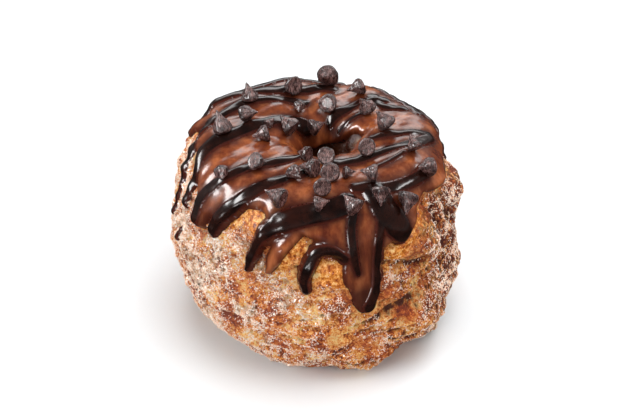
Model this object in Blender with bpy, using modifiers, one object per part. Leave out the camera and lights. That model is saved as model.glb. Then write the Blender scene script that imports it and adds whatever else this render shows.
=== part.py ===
"""A tall ring doughnut of layered dough with sugared sides.

Milk icing covers the top and runs down in drips, dark drizzle lies on it in thick
ribbons, and chocolate chips are scattered over both. Run it with
blender --background --python part.py, or from the text editor.

A place on the ring is given by two numbers: the azimuth in degrees, counted from +X
towards +Y, and the distance along the section in millimetres. That distance is 0 at the
widest point of the outer wall, grows up the side and over the top, and runs on down the
wall of the hole. Sizes are in millimetres and become metres when a mesh is written.
"""
import math
import random

import bmesh
import bpy
import numpy as np
from mathutils import Matrix, Vector
from mathutils.bvhtree import BVHTree

MM = 0.001

# The ring of dough: its section is four quarters of a rounded box round the ring line
RING_RADIUS = 25.0
WAIST_HEIGHT = 27.1
CROWN = 33.4
BELLY = 28.1
OUTER_HALF = 17.0
INNER_HALF = 18.0
# Half width, half height and squareness: outer top, inner top, inner bottom, outer bottom
QUARTERS = (
    (OUTER_HALF, CROWN, 2.3),
    (INNER_HALF, CROWN, 5.0),
    (INNER_HALF, BELLY, 2.6),
    (OUTER_HALF, BELLY, 2.1),
)
LEAN = -0.0615
HOLE_SHIFT = 3.5
CENTRE_X = 0.13
CENTRE_Y = -0.13

# The relief of the crust
LUMP_HEIGHT = 0.75
CRUMB_HEIGHT = 0.32
LAYER_HEIGHT = 0.45
LAYER_PITCH = 4.2
FOOT_ALONG = 124.0
FOOT_HALF = 11.0
# Swellings and hollows: azimuth, along, half width in degrees, half length, height
SWELLS = (
    (80, 38, 35, 13, -1.2),
    (335, 2, 20, 7, -2.6),
    (322, -13, 15, 5, 1.4),
    (357, 19, 13, 6, 1.5),
    (246, 27, 5, 4, 1.4),
    (259, 20, 4, 4, 0.9),
    (276, 16, 6, 4.5, 1.5),
    (312, 24, 4, 3, 0.8),
    (232, -12, 8, 5, 0.9),
    (262, -20, 9, 5, 1.0),
    (205, 6, 7, 6, 0.8),
    (60, 4, 12, 8, 1.1),
    (115, -6, 10, 6, 1.0),
    (150, 10, 9, 7, 0.9),
)
# Splits between the layers: half width, depth, places
SPLITS = (
    (0.9, 1.5, ((297, 15), (307, 13), (318, 9.5))),
    (1.2, 1.6, ((293, -2.5), (303, -1), (312, -1))),
    (1.0, 1.3, ((332, 23), (334, 12), (331, 1))),
    (0.8, 0.9, ((342, 21), (345, 11), (342, 3))),
    (0.9, 1.2, ((15, 20), (28, 12), (44, 10))),
    (1.0, 1.2, ((88, 8), (103, 3), (124, 5))),
    (0.8, 1.0, ((165, 18), (172, 8), (170, -4))),
)

# Milk icing: where it ends on the outer wall and in the hole, as azimuth and along
ICING = 1.8
ICING_ROUND = 2.4
LOWER_EDGE = (
    (0, 26), (14, 27), (30, 24), (48, 28), (66, 26), (85, 29), (104, 25), (124, 29),
    (146, 32), (168, 34.5), (186, 33), (198, 31.5), (209, 29), (218, 24), (227, 26),
    (236, 31), (247, 32), (254, 27), (259, 24.5), (265, 27.5), (271, 25), (279, 22),
    (286, 17), (293, 16), (300, 21), (310, 21), (319, 25), (326, 29), (340, 25),
)
HOLE_EDGE = (
    (5, 55), (25, 56), (48, 61), (90, 63), (135, 64), (180, 62), (225, 64), (275, 65), (325, 61),
)
# Drips of milk icing: half width at the tip and at the root, places from tip to root
MILK_DRIPS = (
    (2.6, 3.4, ((217.5, 22), (218, 28), (220, 33))),
    (1.8, 2.6, ((226, 22.5), (229, 27), (234, 33))),
    (1.1, 1.9, ((244, 15), (245.3, 18.6), (248, 23), (252.5, 27.5))),
    (2.0, 3.2, ((249.5, 25), (254, 28.5), (260, 31))),
    (1.1, 2.2, ((252.2, 15.3), (254.4, 19.2), (257.3, 22.7), (262, 26.5))),
    (1.6, 2.3, ((266.4, 11.3), (266.4, 15), (269, 19.6), (273, 23), (280, 24))),
    (2.6, 4.1, ((289, 3.9), (289.2, 7), (289.5, 10.5), (290, 15))),
    (4.3, 6.2, ((289.5, 11), (289.7, 14.5), (290, 18), (291, 24))),
    (3.8, 5.0, ((308, 24), (308, 30))),
    (2.2, 3.4, ((22, 14), (24, 22), (27, 29))),
    (1.8, 3.0, ((68, 19), (67, 26), (66, 31))),
    (2.4, 3.6, ((103, 13), (104, 22), (104, 30))),
    (1.8, 3.2, ((136, 21), (137, 28), (140, 34))),
    (1.6, 2.8, ((160, 27), (161, 31), (164, 36))),
)

# Dark drizzle: half width at the tip and at the root, places
DRIZZLE_RISE = 0.34
DRIZZLE = (
    (2.0, 2.6, ((153, 31), (138, 36), (118, 41), (98, 43), (80, 42))),
    (1.0, 2.0, ((193, 14), (189, 23), (181, 31), (166, 37), (145, 41.5), (124, 46), (106, 49.5))),
    (1.5, 2.6, ((205, 22.5), (201, 30.5), (194, 36), (185, 42.5), (168, 49), (145, 54), (125, 57))),
    (1.5, 2.0, ((217, 22), (216, 28), (220, 35), (225, 41), (234, 48), (248, 53.5))),
    (1.7, 2.2, ((226, 21), (229, 26.5), (236, 33), (245, 39.5), (259, 45.5))),
    (0.8, 1.4, ((243.8, 14.4), (245.2, 18.4), (247.8, 22.9), (251.8, 26.8))),
    (1.6, 3.0, ((249.5, 25), (254, 28.3), (260, 30.4), (268, 32), (277, 33), (287, 34))),
    (1.3, 1.7, ((266.5, 10.8), (266.3, 14.6), (268.8, 19.5), (272, 22.3), (277, 22.5), (282, 20))),
    (1.2, 1.6, ((286.6, 15.5), (285.9, 20), (286.2, 27.3), (289.8, 34))),
    (2.2, 1.5, ((289.8, 4.6), (291.5, 7.5), (293.3, 11.5), (295, 18), (296.8, 23), (301, 30.5))),
    (3.1, 4.0, ((307, 23.2), (305.5, 26), (303, 30), (302, 34))),
    (2.0, 1.8, ((284, 49.5), (309, 48.5), (332, 45.5), (348, 39), (3, 33))),
    (0.9, 0.9, ((313, 42.5), (336, 39.5))),
    (1.8, 1.8, ((293, 38), (312, 34.5), (333, 32))),
    (1.7, 1.9, ((76, 56.5), (59, 51.5), (50, 45.5), (40, 40))),
    (1.1, 1.1, ((54, 58), (46, 55.5), (38, 51.5))),
    (1.5, 1.5, ((349, 51), (357, 43.5), (5, 33))),
    (1.9, 1.7, ((48, 41.5), (36, 43), (26, 38))),
    (1.5, 2.0, ((158, 24), (142, 30), (120, 35), (96, 35), (76, 33))),
    (1.4, 1.8, ((136, 18), (128, 25), (112, 30), (92, 30))),
    (1.4, 1.9, ((64, 15), (63, 24), (56, 32), (38, 34), (22, 34))),
    (1.3, 1.7, ((12, 22), (18, 28), (32, 31), (46, 28))),
)

# A chocolate chip, from the middle of its flat foot to its tip, as radius and height
CHIP_PROFILE = ((0.0, 0.0), (2.05, 0.0), (2.5, 0.5), (2.3, 1.25), (1.4, 2.7), (0.6, 4.0), (0.0, 5.0))
CHIP_SIDES = 8
CHIP_CURL = 0.032
DROP_HEIGHT = 6.0
DROP_STEP = 0.05
# Azimuth, along, lean from upright, heading of the tip (0 towards the hole, 90 towards
# the growing azimuth) and size
CHIPS = (
    (141, 41.5, 12, 200, 1.05),
    (109, 43.2, 112, 180, 1.1),
    (83.5, 41.2, 76, 20, 1.3),
    (60, 43.5, 100, 41, 1.0),
    (80, 52.0, 125, 190, 1.1),
    (36, 49.8, 22, 30, 1.05),
    (4, 48.0, 32, 20, 1.1),
    (166, 46.0, 62, 10, 1.0),
    (194, 49.2, 104, 175, 1.0),
    (183, 40.2, 18, 240, 1.15),
    (165, 54.5, 95, 200, 1.1),
    (105, 57.3, 95, 260, 1.0),
    (321, 49.5, 118, 40, 1.0),
    (341, 38.2, 60, 40, 0.85),
    (331, 33.3, 100, 300, 1.1),
    (229.5, 42.3, 132, 10, 1.0),
    (222, 34.9, 85, 120, 0.85),
    (277, 51.4, 120, 10, 1.0),
    (251, 51.5, 100, 280, 0.85),
    (264, 44.8, 104, 285, 1.05),
    (257, 41.4, 105, 119, 0.85),
    (279, 43.5, 122, 0, 1.1),
    (292, 42.6, 104, 90, 0.65),
    (274, 38.6, 118, 350, 1.0),
    (302, 39.0, 95, 304, 1.05),
    (301, 33.2, 100, 200, 1.0),
    (312, 29.7, 98, 222, 1.15),
    (287, 33.2, 100, 330, 1.1),
    (274, 34.0, 80, 80, 0.85),
    (253, 34.8, 92, 280, 1.1),
    (120, 52.8, 90, 40, 0.7),
    (171, 51.3, 60, 300, 0.6),
)

# How fine the meshes are
TURN_STEPS = 300
SECTION_STEPS = 132
PASTRY_TRIANGLES = 5300
ICING_TRIANGLES = 7600
SUNK = 3.0
GROWTH = 0.46
CUT_CLEARANCE = 0.42

PASTRY_COLOUR = (0.52, 0.25, 0.10)
ICING_COLOUR = (0.16, 0.05, 0.028)
CHIP_COLOUR = (0.075, 0.042, 0.038)

CIRCLE = 2 * math.pi


def squared(value, squareness):
    """The sine or cosine of a rounded box of the given squareness."""
    return np.sign(value) * np.abs(value) ** (2 / squareness)


def section_table(fine=16000):
    """Radius and height of the section at even steps of length, and its whole length."""
    angle = np.linspace(0, CIRCLE, fine + 1)
    quarter = np.minimum((angle / (math.pi / 2)).astype(int), 3)
    half_width = np.array([q[0] for q in QUARTERS])[quarter]
    half_height = np.array([q[1] for q in QUARTERS])[quarter]
    squareness = np.array([q[2] for q in QUARTERS])[quarter]
    radius = RING_RADIUS + half_width * squared(np.cos(angle), squareness)
    height = half_height * squared(np.sin(angle), squareness)
    run = np.concatenate([[0], np.cumsum(np.hypot(np.diff(radius), np.diff(height)))])
    steps = np.linspace(0, run[-1], 721)
    return steps, np.interp(steps, run, radius), np.interp(steps, run, height), run[-1]


STEPS, RADII, HEIGHTS, ROUND = section_table()
SLOPE_R = np.gradient(RADII, STEPS)
SLOPE_Z = np.gradient(HEIGHTS, STEPS)


def ring_point(azimuth, along, lift):
    """The point at a place on the ring, lifted off the section by some millimetres."""
    turn = np.radians(azimuth)
    along = np.mod(along, ROUND)
    radius = np.interp(along, STEPS, RADII)
    height = np.interp(along, STEPS, HEIGHTS)
    slope_r = np.interp(along, STEPS, SLOPE_R)
    slope_z = np.interp(along, STEPS, SLOPE_Z)
    inward = np.clip((RING_RADIUS + OUTER_HALF - radius) / (OUTER_HALF + INNER_HALF), 0, 1)
    inward = inward * inward * (3 - 2 * inward)
    radius = radius + lift * slope_z
    height = height - lift * slope_r
    x = radius * np.cos(turn) + HOLE_SHIFT * inward + LEAN * height - CENTRE_X
    y = radius * np.sin(turn) - CENTRE_Y
    return np.stack([x, y, np.maximum(height + WAIST_HEIGHT, 0)], axis=-1)


def waves(azimuth, along, seed, turns, laps, count):
    """A sum of waves round the ring and round the section, within about -1 to 1."""
    draw = random.Random(seed)
    total = 0
    for _ in range(count):
        turn = draw.randint(*turns)
        lap = draw.randint(*laps) * draw.choice((-1, 1))
        phase = draw.uniform(0, CIRCLE)
        total = total + np.cos(turn * np.radians(azimuth) + lap * CIRCLE * along / ROUND + phase)
    return total / math.sqrt(count)


def turn_between(azimuth, centre):
    """The azimuth from a centre, in degrees from -180 to 180."""
    return np.mod(azimuth - centre + 180, 360) - 180


def swell(azimuth, along, centre, height_at, half_width, half_length, height):
    """A rounded swelling or hollow."""
    across = turn_between(azimuth, centre) / half_width
    up = (np.mod(along - height_at + ROUND / 2, ROUND) - ROUND / 2) / half_length
    return height * np.exp(-(across ** 2 + up ** 2))


def trail(places, step=0.7):
    """Points of the bare ring along a smooth line through some places, with their share."""
    places = np.array(places, dtype=float)
    knots = np.arange(len(places))
    count = int(np.abs(np.diff(places, axis=0)).sum() / step) + 8
    share = np.linspace(0, len(places) - 1, count)
    places[:, 0] = np.degrees(np.unwrap(np.radians(places[:, 0])))
    slopes = np.gradient(places, axis=0)
    left = np.minimum(share.astype(int), len(places) - 2)
    t = (share - knots[left])[:, None]
    a, b, da, db = places[left], places[left + 1], slopes[left], slopes[left + 1]
    line = ((2 * t ** 3 - 3 * t ** 2 + 1) * a + (t ** 3 - 2 * t ** 2 + t) * da
            + (3 * t ** 2 - 2 * t ** 3) * b + (t ** 3 - t ** 2) * db)
    return ring_point(line[:, 0], line[:, 1], 0.0), share / (len(places) - 1)


def inside_trail(points, places, tip, root, flare=3.0):
    """How far points lie inside a trail's edge, negative outside, with a wide reach."""
    line, share = trail(places)
    half = tip + (root - tip) * np.clip(share * flare, 0, 1)
    near = np.full(len(points), -9.0)
    for spot, width in zip(line, half):
        np.maximum(near, width - np.sqrt(((points - spot) ** 2).sum(axis=1)), out=near)
    return near, half.mean()


def edge_at(azimuth, edge):
    """The smooth value of an edge table round the ring."""
    centres = np.array([place[0] for place in edge], dtype=float)
    values = np.array([place[1] for place in edge], dtype=float)
    centres = np.concatenate([centres[-3:] - 360, centres, centres[:3] + 360])
    values = np.concatenate([values[-3:], values, values[:3]])
    fine = np.arange(0, 360, 0.5)
    rough = np.interp(fine, centres, values)
    spread = np.exp(-(np.arange(-12, 13) / 5.0) ** 2)
    padded = np.concatenate([rough[-12:], rough, rough[:12]])
    smooth = np.convolve(padded, spread / spread.sum(), mode="valid")
    return np.interp(np.mod(azimuth, 360), np.append(fine, 360.0), np.append(smooth, smooth[0]))


def rounded_rise(inside, height, rounding):
    """A skin that rises round-edged inside its edge and dives under the dough outside it."""
    grown = np.clip(inside / rounding, 0, 1)
    return np.where(inside >= 0, height * np.sqrt(1 - (1 - grown) ** 2), 1.5 * inside)


def smooth_larger(a, b, blend):
    """The larger of two values, with a soft join."""
    mix = np.clip(0.5 + 0.5 * (a - b) / blend, 0, 1)
    return b + (a - b) * mix + blend * mix * (1 - mix)


def milk_inside(azimuth, along, points):
    """How far a place lies inside the edge of the milk icing, in millimetres."""
    from_below = along - edge_at(azimuth, LOWER_EDGE)
    from_hole = edge_at(azimuth, HOLE_EDGE) - along
    inside = np.clip(np.minimum(from_below, from_hole), -9, 9)
    for tip, root, places in MILK_DRIPS:
        drip, _ = inside_trail(points, places, tip, root)
        inside = smooth_larger(inside, drip, 1.6)
    return inside


def crust_relief(azimuth, along, covered):
    """Lumps, crumbs, layer edges and splits of the crust, smooth where icing covers it."""
    points = ring_point(azimuth, along, 0.0)
    lumps = LUMP_HEIGHT * waves(azimuth, along, 3, (2, 9), (1, 6), 16)
    crumbs = CRUMB_HEIGHT * waves(azimuth, along, 5, (12, 34), (7, 20), 26)
    wander = 1.6 * waves(azimuth, along, 7, (1, 6), (1, 4), 8)
    layers = LAYER_HEIGHT * np.sin(CIRCLE * (along + wander) / LAYER_PITCH)
    rough_side = 0.35 + 0.65 * np.exp(-(turn_between(azimuth, 330) / 60) ** 2)
    bare = 1 - covered
    wall = np.clip(np.hypot(points[:, 0], points[:, 1]) / RING_RADIUS - 0.2, 0.15, 1)
    foot = 1 - 0.8 * np.exp(-((along - FOOT_ALONG) / FOOT_HALF) ** 4)
    relief = lumps * (0.45 + 0.55 * bare) + (crumbs + layers * rough_side) * bare * wall
    for place in SWELLS:
        relief = relief + swell(azimuth, along, *place)
    relief = relief * foot
    for half, depth, places in SPLITS:
        inside, _ = inside_trail(points, places, half, half)
        relief = relief - depth * np.clip(1 + inside / half / 2, 0, 1) ** 2 * bare
    return relief


def covering(azimuth, along, points, inside):
    """Height over the crust of the milk icing and the drizzle, negative where there is none."""
    thickness = ICING * (1 + 0.12 * waves(azimuth, along, 11, (2, 7), (2, 8), 8))
    milk = rounded_rise(inside, thickness, ICING_ROUND)
    dark = np.full(len(points), -9.0)
    for tip, root, places in DRIZZLE:
        ribbon, half = inside_trail(points, places, tip, root)
        rise = rounded_rise(ribbon, DRIZZLE_RISE * half, half)
        dark = np.maximum(dark, rise)
    both = (milk > 0) & (dark > 0)
    bare_dark = dark + 0.35 * (dark > 0)
    return np.maximum(np.where(both, milk + dark, np.maximum(milk, bare_dark)), -SUNK)


def link(obj, collection):
    """Moves an object into one collection only."""
    for owner in list(obj.users_collection):
        owner.objects.unlink(obj)
    collection.objects.link(obj)


def new_collection(name):
    """Makes a collection in the scene."""
    collection = bpy.data.collections.new(name)
    bpy.context.scene.collection.children.link(collection)
    return collection


def plain_material(name, colour, roughness):
    """A material of one colour for a kind of piece."""
    material = bpy.data.materials.new(name)
    material.use_nodes = True
    shader = material.node_tree.nodes["Principled BSDF"]
    shader.inputs["Base Color"].default_value = (*colour, 1.0)
    shader.inputs["Roughness"].default_value = roughness
    shader.inputs["Metallic"].default_value = 0.0
    return material


def ring_places(mesh, major_radius):
    """Azimuth and distance along the section of every corner of a plain torus."""
    corners = np.empty(len(mesh.vertices) * 3)
    mesh.vertices.foreach_get("co", corners)
    x, y, z = corners.reshape(-1, 3).T
    azimuth = np.degrees(np.arctan2(y, x))
    turned = np.mod(np.arctan2(z, np.hypot(x, y) - major_radius), CIRCLE)
    return azimuth, turned / CIRCLE * ROUND


def thinned(obj, triangles, collection):
    """A copy of an object, reduced to a number of triangles and freed of its modifiers."""
    fewer = obj.modifiers.new("fewer", "DECIMATE")
    fewer.ratio = triangles / (2 * len(obj.data.polygons))
    fewer.use_collapse_triangulate = True
    return settled(obj, collection)


def settled(obj, collection):
    """Replaces an object by its evaluated mesh and puts it in a collection."""
    graph = bpy.context.evaluated_depsgraph_get()
    mesh = bpy.data.meshes.new_from_object(obj.evaluated_get(graph))
    name = obj.name
    material = obj.data.materials[0] if obj.data.materials else None
    bpy.data.objects.remove(obj)
    solid = bpy.data.objects.new(name, mesh)
    if material and not mesh.materials:
        mesh.materials.append(material)
    collection.objects.link(solid)
    bpy.context.view_layer.update()
    return solid


def make_ring(name, height, material):
    """A torus whose corners are moved to the ring, lifted by a function of their place."""
    bpy.ops.mesh.primitive_torus_add(
        major_radius=2, minor_radius=1, major_segments=TURN_STEPS, minor_segments=SECTION_STEPS)
    ring = bpy.context.object
    ring.name = name
    ring.data.name = name
    azimuth, along = ring_places(ring.data, 2)
    place = ring_point(azimuth, along, height(azimuth, along)) * MM
    ring.data.vertices.foreach_set("co", place.ravel())
    ring.data.materials.append(material)
    ring.data.update()
    return ring


def crust_height(azimuth, along):
    """The crust's relief at each place."""
    inside = milk_inside(azimuth, along, ring_point(azimuth, along, 0.0))
    covered = np.clip(inside / 2.5, 0, 1)
    return crust_relief(azimuth, along, covered)


def icing_height(azimuth, along):
    """The outside of the icing and drizzle at each place."""
    points = ring_point(azimuth, along, 0.0)
    inside = milk_inside(azimuth, along, points)
    covered = np.clip(inside / 2.5, 0, 1)
    return crust_relief(azimuth, along, covered) + covering(azimuth, along, points, inside)


def flatten_foot(mesh):
    """Sets every corner of the foot on the ground plane."""
    for corner in mesh.vertices:
        if corner.co.z < 0.05 * MM:
            corner.co.z = 0.0


def keep_largest_body(mesh):
    """Deletes scraps that hang on to nothing."""
    work = bmesh.new()
    work.from_mesh(mesh)
    work.faces.ensure_lookup_table()
    seen = set()
    bodies = []
    for face in work.faces:
        if face in seen:
            continue
        body = []
        front = [face]
        seen.add(face)
        while front:
            here = front.pop()
            body.append(here)
            for edge in here.edges:
                for other in edge.link_faces:
                    if other not in seen:
                        seen.add(other)
                        front.append(other)
        bodies.append(body)
    bodies.sort(key=len)
    for body in bodies[:-1]:
        bmesh.ops.delete(work, geom=body, context="FACES")
    work.to_mesh(mesh)
    work.free()


def make_pastry(collection):
    """The ring of layered dough with its crust."""
    material = plain_material("sugared_crust", PASTRY_COLOUR, 0.75)
    ring = make_ring("pastry", crust_height, material)
    pastry = thinned(ring, PASTRY_TRIANGLES, collection)
    flatten_foot(pastry.data)
    pastry.data.shade_smooth()
    pastry.data.set_sharp_from_angle(angle=math.radians(50))
    return pastry


def make_icing(pastry, collection, tools):
    """The milk icing with its drips, and the drizzle fused to it, cut clear of the dough."""
    material = plain_material("chocolate_icing", ICING_COLOUR, 0.18)
    body = thinned(make_ring("icing_body", icing_height, material), ICING_TRIANGLES, tools)
    cutter = bpy.data.objects.new("dough_clearance", pastry.data.copy())
    tools.objects.link(cutter)
    grow = cutter.modifiers.new("grow", "DISPLACE")
    grow.mid_level = 0.0
    grow.strength = CUT_CLEARANCE * MM
    cutter = settled(cutter, tools)
    for tool in (body, cutter):
        tool.hide_render = True
        tool.display_type = "WIRE"
    icing = bpy.data.objects.new("icing", body.data.copy())
    tools.objects.link(icing)
    cut = icing.modifiers.new("clear_of_dough", "BOOLEAN")
    cut.operation = "DIFFERENCE"
    cut.object = cutter
    icing = settled(icing, tools)
    link(icing, collection)
    keep_largest_body(icing.data)
    icing.data.shade_smooth()
    icing.data.set_sharp_from_angle(angle=math.radians(60))
    return icing


def make_chip_form(tools):
    """One chocolate chip turned from its profile."""
    mesh = bpy.data.meshes.new("chip_form")
    rim = [(radius * MM, 0.0, height * MM) for radius, height in reversed(CHIP_PROFILE)]
    mesh.from_pydata(rim, [(i, i + 1) for i in range(len(rim) - 1)], [])
    form = bpy.data.objects.new("chip_form", mesh)
    tools.objects.link(form)
    turn = form.modifiers.new("turn", "SCREW")
    turn.steps = CHIP_SIDES
    turn.render_steps = CHIP_SIDES
    turn.use_merge_vertices = True
    turn.merge_threshold = 0.00001
    form = settled(form, tools)
    form.hide_render = True
    form.display_type = "WIRE"
    return form


def touches(mesh, matrix, grounds):
    """Whether a placed mesh, grown by the gap, meets one of some bodies."""
    grown = [matrix @ (corner.co + corner.normal * GROWTH * MM) for corner in mesh.vertices]
    skin = BVHTree.FromPolygons(grown, [tuple(face.vertices) for face in mesh.polygons])
    return any(skin.overlap(ground) for ground in grounds)


def chip_frame(azimuth, along, lean, heading):
    """Place, surface normal and turning matrix of a chip."""
    spot = Vector(ring_point(azimuth, along, ICING) * MM)
    inward = Vector(ring_point(azimuth, along + 0.5, ICING) * MM) - spot
    sideways = Vector(ring_point(azimuth + 0.5, along, ICING) * MM) - spot
    normal = sideways.cross(inward).normalized()
    inward = (inward - normal * inward.dot(normal)).normalized()
    sideways = inward.cross(normal)
    lead = inward * math.cos(math.radians(heading)) + sideways * math.sin(math.radians(heading))
    axis = normal * math.cos(math.radians(lean)) + lead * math.sin(math.radians(lean))
    across = axis.cross(lead if abs(axis.dot(lead)) < 0.9 else normal).normalized()
    turn = Matrix((across.cross(axis), across, axis)).transposed().to_4x4()
    return spot, normal, turn


def make_chips(icing, pastry, form, collection):
    """The chocolate chips, each set down until it nearly touches the icing or another chip."""
    material = plain_material("chocolate_chip", CHIP_COLOUR, 0.55)
    draw = random.Random(21)
    bpy.context.view_layer.update()
    graph = bpy.context.evaluated_depsgraph_get()
    grounds = [BVHTree.FromObject(icing, graph), BVHTree.FromObject(pastry, graph)]
    for number, (azimuth, along, lean, heading, size) in enumerate(CHIPS, start=1):
        mesh = form.data.copy()
        mesh.name = f"chip_{number:02d}"
        mesh.materials.append(material)
        stretch = draw.uniform(0.92, 1.08)
        curl = draw.uniform(0.3, 1.0) * CHIP_CURL / MM
        for corner in mesh.vertices:
            corner.co.x += curl * corner.co.z ** 2
            corner.co *= size
            corner.co.z *= stretch
        mesh.update()
        spot, normal, turn = chip_frame(azimuth, along, lean, heading)
        middle = turn @ Vector((0, 0, 2.2 * size * MM))
        lift = DROP_HEIGHT * MM
        place = Matrix.Translation(spot + normal * lift - middle) @ turn
        while lift > 0:
            lift -= DROP_STEP * MM
            lower = Matrix.Translation(spot + normal * lift - middle) @ turn
            if touches(mesh, lower, grounds):
                break
            place = lower
        chip = bpy.data.objects.new(mesh.name, mesh)
        chip.location = place.translation
        chip.rotation_euler = place.to_euler()
        collection.objects.link(chip)
        grounds.append(BVHTree.FromPolygons(
            [place @ corner.co for corner in mesh.vertices],
            [tuple(face.vertices) for face in mesh.polygons]))
        mesh.shade_smooth()
        mesh.set_sharp_from_angle(angle=math.radians(50))


def main():
    """Builds the whole doughnut."""
    for old in list(bpy.data.objects):
        bpy.data.objects.remove(old)
    doughnut = new_collection("cruller_doughnut")
    tools = new_collection("shaping_tools")
    pastry = make_pastry(doughnut)
    icing = make_icing(pastry, doughnut, tools)
    form = make_chip_form(tools)
    make_chips(icing, pastry, form, doughnut)


main()
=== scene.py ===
import math
import random

import bpy
import numpy as np
from mathutils import Matrix, Vector, noise


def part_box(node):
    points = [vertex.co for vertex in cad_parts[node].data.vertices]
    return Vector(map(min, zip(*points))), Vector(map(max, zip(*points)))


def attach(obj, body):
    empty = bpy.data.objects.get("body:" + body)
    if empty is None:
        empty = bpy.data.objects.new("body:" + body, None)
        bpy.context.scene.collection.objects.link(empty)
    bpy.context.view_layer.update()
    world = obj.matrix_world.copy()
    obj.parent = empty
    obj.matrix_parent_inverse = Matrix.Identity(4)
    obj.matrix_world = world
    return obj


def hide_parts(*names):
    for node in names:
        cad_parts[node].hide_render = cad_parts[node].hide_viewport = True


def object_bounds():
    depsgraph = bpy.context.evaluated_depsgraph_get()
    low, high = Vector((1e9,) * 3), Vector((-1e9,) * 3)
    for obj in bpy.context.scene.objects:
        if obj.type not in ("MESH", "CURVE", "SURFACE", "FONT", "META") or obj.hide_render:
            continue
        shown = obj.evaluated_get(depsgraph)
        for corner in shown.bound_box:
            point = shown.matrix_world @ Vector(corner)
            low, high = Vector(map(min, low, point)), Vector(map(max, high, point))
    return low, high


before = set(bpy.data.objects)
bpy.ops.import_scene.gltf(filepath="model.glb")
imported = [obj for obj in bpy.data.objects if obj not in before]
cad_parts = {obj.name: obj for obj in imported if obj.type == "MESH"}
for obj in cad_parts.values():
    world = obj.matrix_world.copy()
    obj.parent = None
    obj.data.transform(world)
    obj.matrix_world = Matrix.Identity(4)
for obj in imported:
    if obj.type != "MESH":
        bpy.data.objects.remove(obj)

cad_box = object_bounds()

# The dough ring: layered croissant dough, fried and rolled in sugar while warm. It is one
# piece with a browned crust of fine flakes, blisters and splits, and stands on its own foot.
# A place on it is an azimuth in degrees and a distance in mm up the section from the waist.
MM = 0.001
CIRCLE = 2 * math.pi
RING_RADIUS = 25.0
WAIST_HEIGHT = 27.1
CROWN = 33.4
BELLY = 28.1
OUTER_HALF = 17.0
INNER_HALF = 18.0
# Half width, half height and squareness: outer top, inner top, inner bottom, outer bottom
QUARTERS = (
    (OUTER_HALF, CROWN, 2.3),
    (INNER_HALF, CROWN, 5.0),
    (INNER_HALF, BELLY, 2.6),
    (OUTER_HALF, BELLY, 2.1),
)
LEAN = -0.0615
HOLE_SHIFT = 3.5
CENTRE_X = 0.13
CENTRE_Y = -0.13
LUMP_HEIGHT = 0.75
CRUMB_HEIGHT = 0.32
LAYER_HEIGHT = 0.45
LAYER_PITCH = 4.2
LAYER_WANDER = 1.6
# Sides of the ring: the azimuth of the middle and the spread in degrees
ROUGH_SIDE = (330, 60)
FLAKY_SIDE = (328, 27)
LAYERED_SIDE = (310, 35)
LEFT_FLANK = (214, 44)
RIGHT_FLANK = (345, 26)
FRONT = (285, 30)
FOOT_ALONG = 124.0
FOOT_HALF = 11.0
# Bulges and hollows: azimuth, along, half width in degrees, half length and height in mm
SWELLS = (
    (80, 38, 35, 13, -1.2),
    (335, 2, 20, 7, -2.6),
    (322, -13, 15, 5, 1.4),
    (357, 19, 13, 6, 1.5),
    (246, 27, 5, 4, 1.4),
    (259, 20, 4, 4, 0.9),
    (276, 16, 6, 4.5, 1.5),
    (312, 24, 4, 3, 0.8),
    (232, -12, 8, 5, 0.9),
    (262, -20, 9, 5, 1.0),
    (205, 6, 7, 6, 0.8),
    (60, 4, 12, 8, 1.1),
    (115, -6, 10, 6, 1.0),
    (150, 10, 9, 7, 0.9),
)
# Splits in the crust: half width and depth in mm, then the places that each runs through
SPLITS = (
    (0.9, 1.5, ((297, 15), (307, 13), (318, 9.5))),
    (1.2, 1.6, ((293, -2.5), (303, -1), (312, -1))),
    (1.0, 1.3, ((332, 23), (334, 12), (331, 1))),
    (0.8, 0.9, ((342, 21), (345, 11), (342, 3))),
    (0.9, 1.2, ((15, 20), (28, 12), (44, 10))),
    (1.0, 1.2, ((88, 8), (103, 3), (124, 5))),
    (0.8, 1.0, ((165, 18), (172, 8), (170, -4))),
)
SMOOTHED_UNDER = 2.5
DRIP_BLEND = 1.6
TRAIL_FLARE = 3.0
TRAIL_BOX = 11.0
FAR = 9.0
EDGE_STEP = 0.5
EDGE_WINDOW = 12
EDGE_SPREAD = 5.0
# The icing's edge on the flank and in the hole, as places in turn
LOWER_EDGE = (
    (0, 26), (14, 27), (30, 24), (48, 28), (66, 26), (85, 29), (104, 25), (124, 29),
    (146, 32), (168, 34.5), (186, 33), (198, 31.5), (209, 29), (218, 24), (227, 26),
    (236, 31), (247, 32), (254, 27), (259, 24.5), (265, 27.5), (271, 25), (279, 22),
    (286, 17), (293, 16), (300, 21), (310, 21), (319, 25), (326, 29), (340, 25),
)
HOLE_EDGE = (
    (5, 55), (25, 56), (48, 61), (90, 63), (135, 64), (180, 62), (225, 64), (275, 65), (325, 61),
)
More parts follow.
